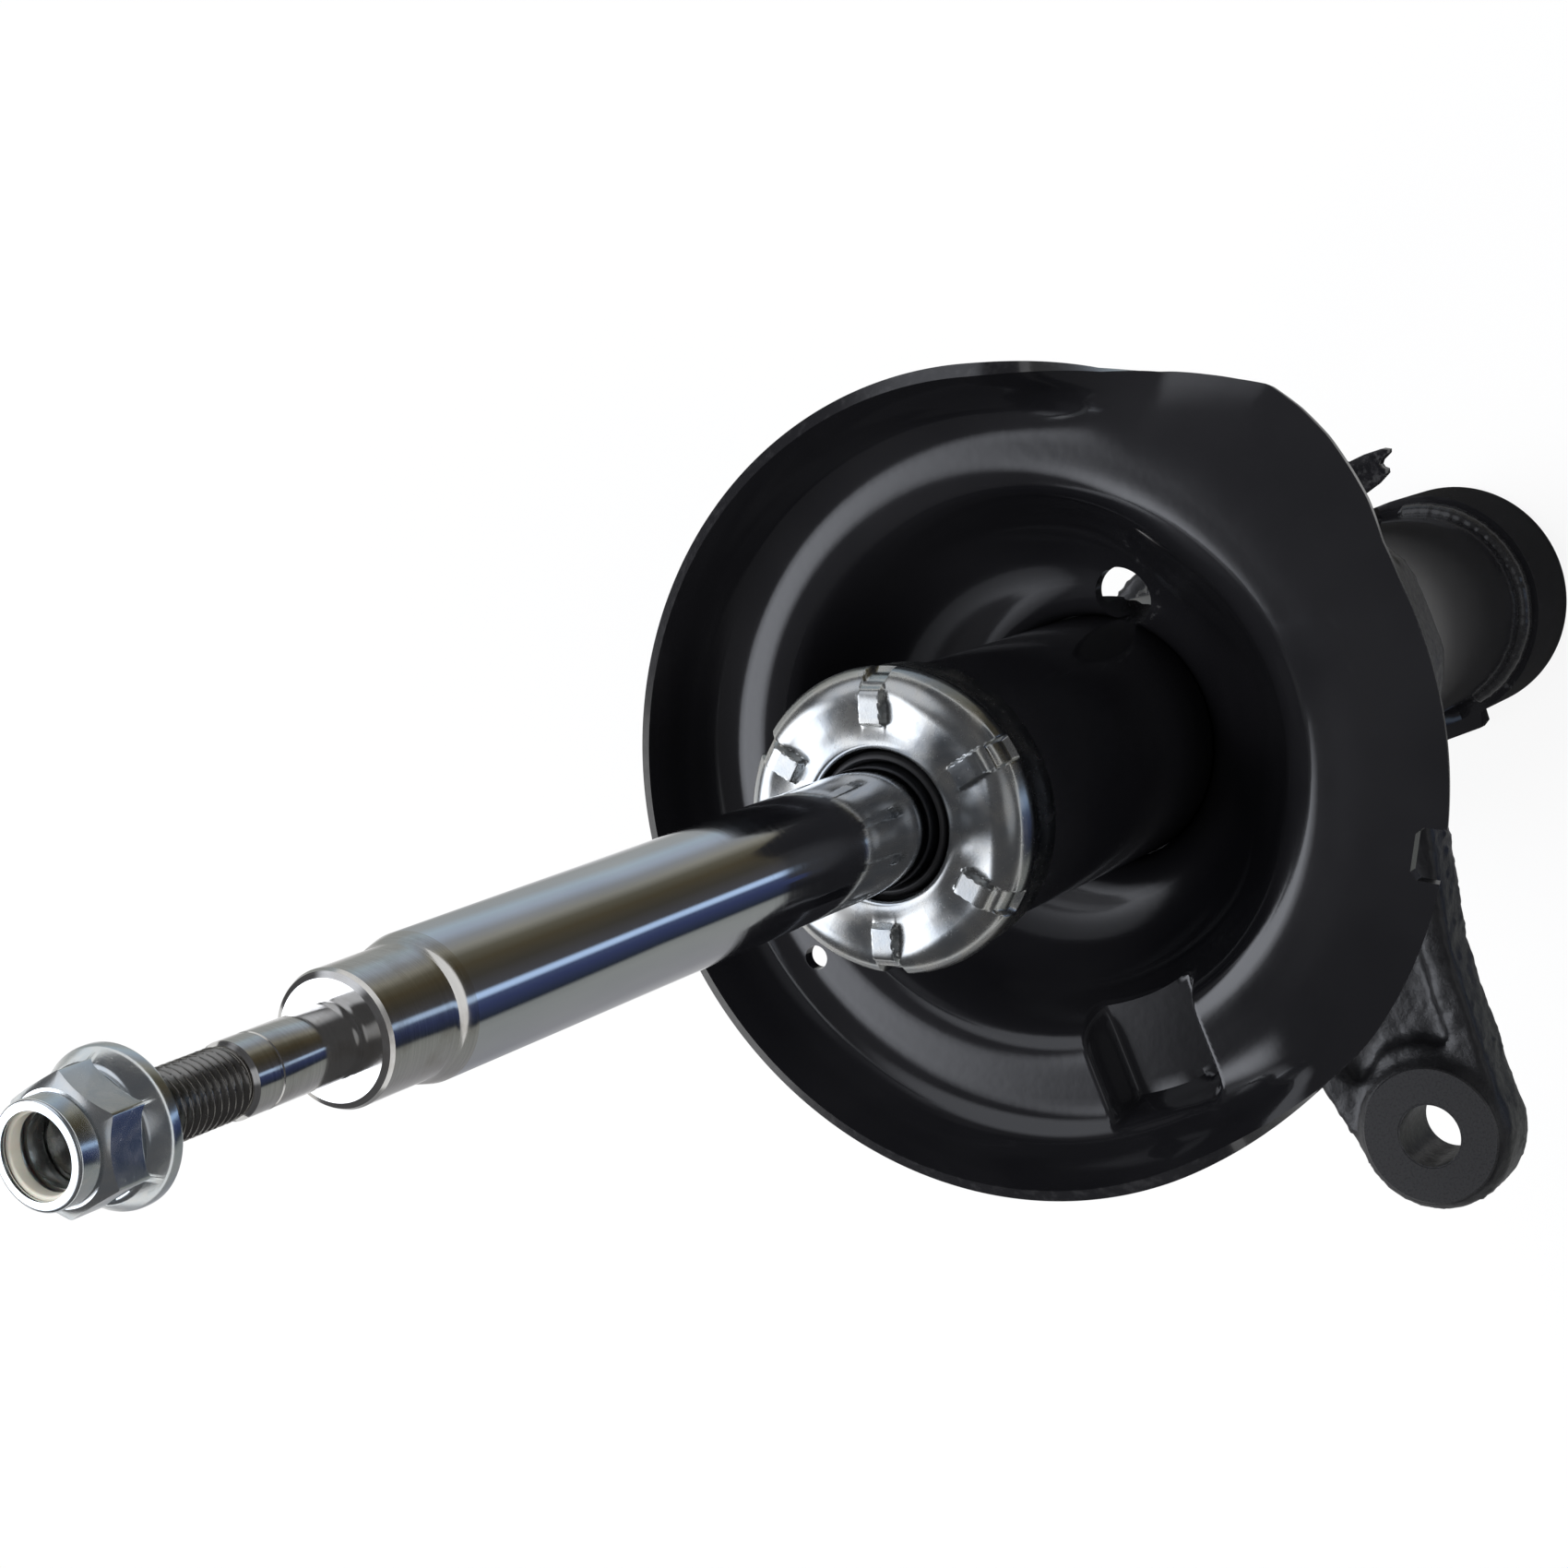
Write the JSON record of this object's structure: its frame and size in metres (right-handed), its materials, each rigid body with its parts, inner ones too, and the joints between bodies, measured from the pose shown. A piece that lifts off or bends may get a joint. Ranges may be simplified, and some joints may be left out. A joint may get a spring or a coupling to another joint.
{
  "type": "suspension strut",
  "caption": "Front suspension strut: twin-tube damper with chromed rod, pressed spring seat, steering arm and knuckle bracket.",
  "frame": {"origin": "centre of the rod's upper shoulder face, where the top mount sits", "axes": "+Z along the rod and out of the strut's top, +X towards the knuckle bracket's ears, +Y towards the steering arm"},
  "size_m": [0.1474, 0.1834, 0.4776],
  "materials": {
    "black_paint": "gloss",
    "arm_black": "satin",
    "chrome_rod": "mirror polished",
    "zinc_cap": "bright zinc, slightly mottled",
    "zinc_nut": "bright zinc",
    "nylon_ring": "satin",
    "seal_rubber": "satin",
    "sintered_iron": "matt",
    "bush_bronze": "satin",
    "band_plastic": "matt",
    "inner_steel": "drawn",
    "weld_black": "gloss over rippled bead"
  },
  "bodies": {
    "tube": {"tube_cap": "zinc_cap", "oil_seal": "seal_rubber", "rod_guide": "sintered_iron", "guide_bush": "bush_bronze", "working_cylinder": "inner_steel", "foot_valve_body": "sintered_iron", "foot_valve_discs": "inner_steel", "foot_valve_rivet": "inner_steel", "reservoir_tube": "black_paint", "base_cup": "black_paint", "base_weld": "weld_black", "spring_seat": "black_paint", "spring_seat_weld": "weld_black", "steering_arm": "arm_black", "steering_arm_weld": "weld_black", "knuckle_bracket": "black_paint", "knuckle_bracket_weld": "weld_black", "hose_bracket": "black_paint", "hose_bracket_weld": "weld_black"},
    "band": {"piston_band": "band_plastic"},
    "rod": {"piston_rod": "chrome_rod", "rebound_bumper": "seal_rubber", "rebound_collar": "inner_steel", "piston_stop_plate": "inner_steel", "piston_check_plate": "inner_steel", "piston": "sintered_iron", "piston_valve_discs": "inner_steel", "piston_nut": "inner_steel"},
    "nut": {"rod_nut": "zinc_nut", "nut_locking_ring": "nylon_ring"}
  },
  "joints": [
    {"name": "rod_stroke", "type": "slide", "parent": "tube", "child": "band", "axis": [0, 0, 1], "range_m": [-0.12, 0], "stiffness_N_per_m": 300, "springref_m": 0.2},
    {"name": "rod_turn", "type": "hinge", "parent": "band", "child": "rod", "pos_m": [0, 0, -0.2], "axis": [0, 0, 1], "continuous": true},
    {"name": "nut_travel", "type": "slide", "parent": "rod", "child": "nut", "axis": [0, 0, 1], "range_m": [-0.0185, 0.05]}
  ]
}
